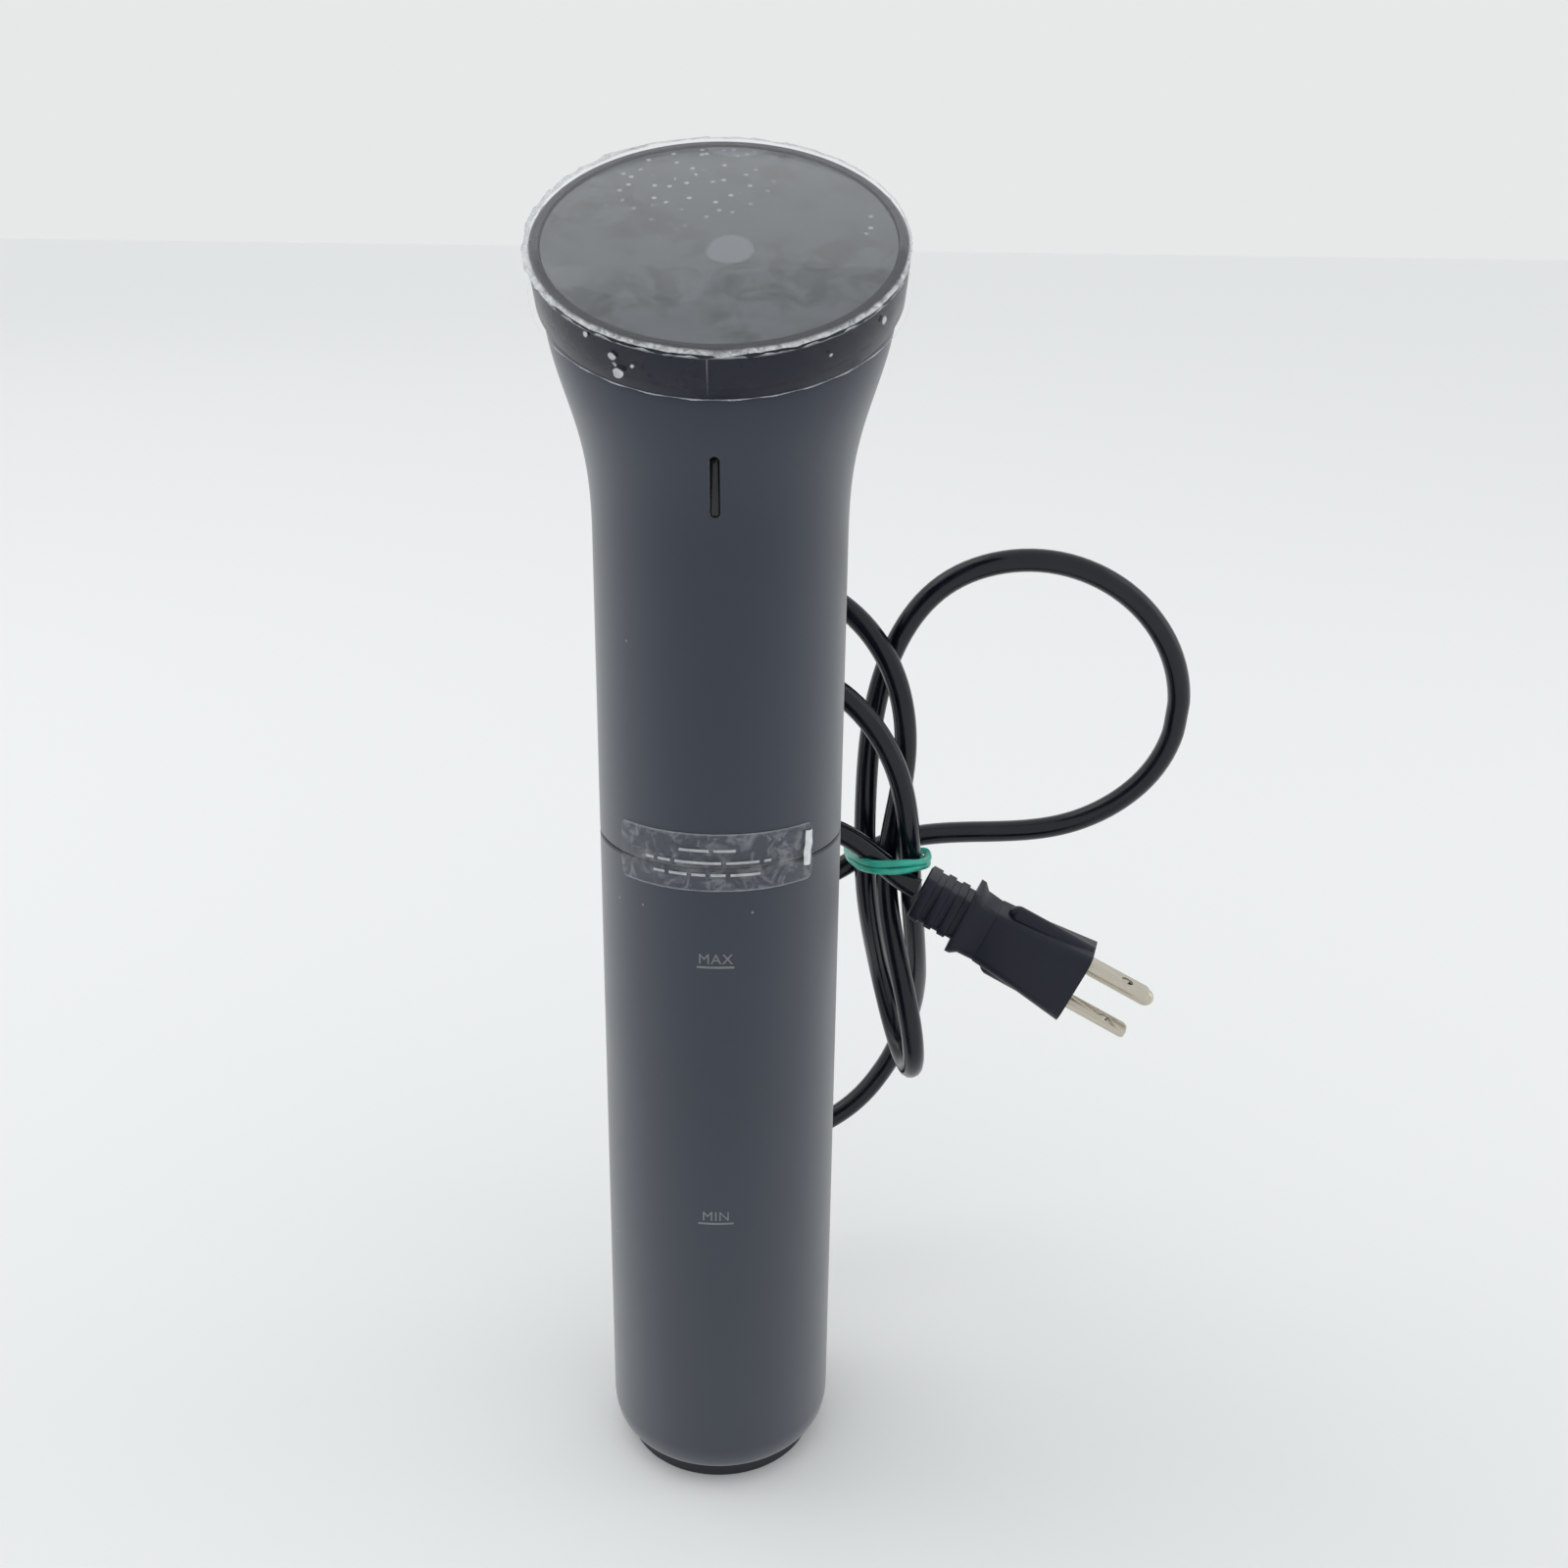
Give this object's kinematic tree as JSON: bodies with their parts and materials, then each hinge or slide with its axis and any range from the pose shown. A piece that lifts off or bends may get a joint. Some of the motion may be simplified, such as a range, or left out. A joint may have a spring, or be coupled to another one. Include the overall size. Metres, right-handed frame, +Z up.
{
  "type": "sous vide circulator",
  "caption": "Immersion circulator for sous vide cooking: slim round body with a slanted glass control face, heater and pump inside, and a mains cord tied in a bundle.",
  "frame": {"origin": "on the axis of the body, in the plane that the foot rests on", "axes": "+Z up along the body, -Y towards the low edge of the slanted face, where the user stands, +X to the right seen from the front"},
  "size_m": [0.1668, 0.1286, 0.3274],
  "materials": {
    "black_plastic": "fine satin, dark slate",
    "gloss_black": "polished",
    "smoked_glass": "smoked, flat",
    "clear_film": "thin clear film",
    "dark_rubber": "satin",
    "magnet": "bonded magnet",
    "nickel": "satin nickel",
    "steel": "brushed",
    "aluminium": "extruded",
    "circuit_board": "green solder mask",
    "white_plastic": "moulded",
    "green_band": "soft plastic over wire",
    "blue_part": "moulded sleeve",
    "copper": "enamelled windings"
  },
  "bodies": {
    "body": {"band_film": "clear_film", "blade_left": "nickel", "blade_right": "nickel", "board_frame": "white_plastic", "board_screw_1": "steel", "board_screw_2": "steel", "bulkhead": "black_plastic", "bulkhead_screw_1": "steel", "bulkhead_screw_2": "steel", "bulkhead_screw_3": "steel", "capacitor": "blue_part", "choke": "copper", "control_board": "circuit_board", "cord_gland": "dark_rubber", "cord_tie": "green_band", "display_glass": "smoked_glass", "display_module": "white_plastic", "foot_cap": "dark_rubber", "glass_gasket": "dark_rubber", "ground_pin": "nickel", "head_bezel": "gloss_black", "heat_sink": "aluminium", "heater_coil": "steel", "lower_bush": "white_plastic", "max_level_probe": "steel", "min_level_probe": "steel", "motor_can": "steel", "motor_end_bell": "black_plastic", "motor_magnet": "magnet", "motor_mount": "steel", "motor_screw_1": "steel", "motor_screw_2": "steel", "plug_body": "dark_rubber", "power_board": "circuit_board", "power_cord": "dark_rubber", "pump_shroud": "black_plastic", "relay": "blue_part", "screen_film": "clear_film", "seam_ring": "dark_rubber", "service_label": "clear_film", "shaft_seal": "dark_rubber", "shaft_tube": "steel", "skirt": "black_plastic", "status_board": "circuit_board", "status_lens": "gloss_black", "temperature_probe": "steel", "touch_board": "circuit_board", "upper_housing": "black_plastic", "wifi_module": "steel"},
    "pump_shaft": {"impeller": "white_plastic", "impeller_nut": "steel", "drive_shaft": "steel", "shaft_coupling": "steel", "motor_shaft": "steel", "motor_rotor": "copper"}
  },
  "joints": [
    {"name": "shaft_spin", "type": "hinge", "parent": "body", "child": "pump_shaft", "pos_m": [0, 0, 0.02], "axis": [0, 0, 1], "continuous": true}
  ]
}
